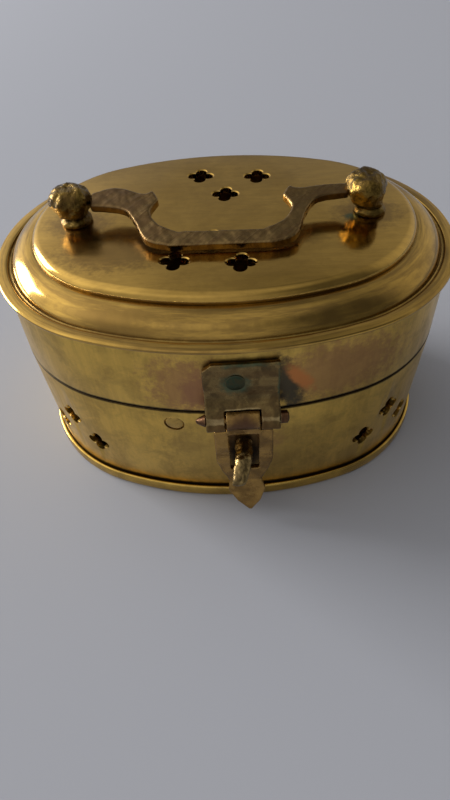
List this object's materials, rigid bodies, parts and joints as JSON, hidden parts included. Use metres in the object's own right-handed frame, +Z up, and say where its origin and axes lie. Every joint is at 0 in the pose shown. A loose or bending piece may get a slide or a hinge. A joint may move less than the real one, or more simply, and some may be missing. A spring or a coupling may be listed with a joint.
{
  "type": "pierced brass box with bail handle",
  "caption": "Oval brass box with a hinged moulded lid, pierced quatrefoil vents, a bail handle between knobs and a hinged hasp over a horn.",
  "frame": {"origin": "middle of the oval on the underside of the base", "axes": "+X along the oval's long axis, +Y towards the rear hinge, +Z up; the hasp faces -Y"},
  "size_m": [0.12, 0.1026, 0.0769],
  "materials": {
    "aged_brass": "satin, handled and lightly scratched",
    "polished_brass": "worn polish with brown patina in the grooves",
    "bright_brass": "brighter, rubbed by use",
    "dark_brass": "dark brown patina with verdigris at the joints"
  },
  "bodies": {
    "base": {"base_pan": "bright_brass", "lower_wall": "aged_brass", "inner_collar": "aged_brass", "collar_rivets": "polished_brass", "latch_horn": "polished_brass", "latch_horn_washer": "aged_brass", "hinge_base_leaf": "dark_brass", "hinge_base_rivets": "aged_brass", "hinge_pin": "dark_brass"},
    "lid": {"lid_top": "polished_brass", "lid_skirt": "aged_brass", "hinge_lid_leaf": "dark_brass", "hinge_lid_rivets": "aged_brass", "left_post": "bright_brass", "right_post": "bright_brass", "post_washers": "aged_brass", "hasp_upper_leaf": "dark_brass", "hasp_rivet": "dark_brass", "hasp_rivet_washer": "aged_brass", "hasp_pin": "dark_brass"},
    "handle": {"handle": "polished_brass"},
    "hasp_leaf": {"hasp_lower_leaf": "dark_brass"}
  },
  "joints": [
    {"name": "lid_open", "type": "hinge", "parent": "base", "child": "lid", "pos_m": [0, 0.04575, 0.0372], "axis": [-1, 0, 0], "range_deg": [0, 110]},
    {"name": "handle_swing", "type": "hinge", "parent": "lid", "child": "handle", "pos_m": [0, -0.0006, 0.0708], "axis": [-1, 0, 0], "range_deg": [0, 205]},
    {"name": "hasp_swing", "type": "hinge", "parent": "lid", "child": "hasp_leaf", "pos_m": [0.00423, -0.04591, 0.038], "axis": [-0.999, -0.0442, 0], "range_deg": [0, 135]}
  ]
}
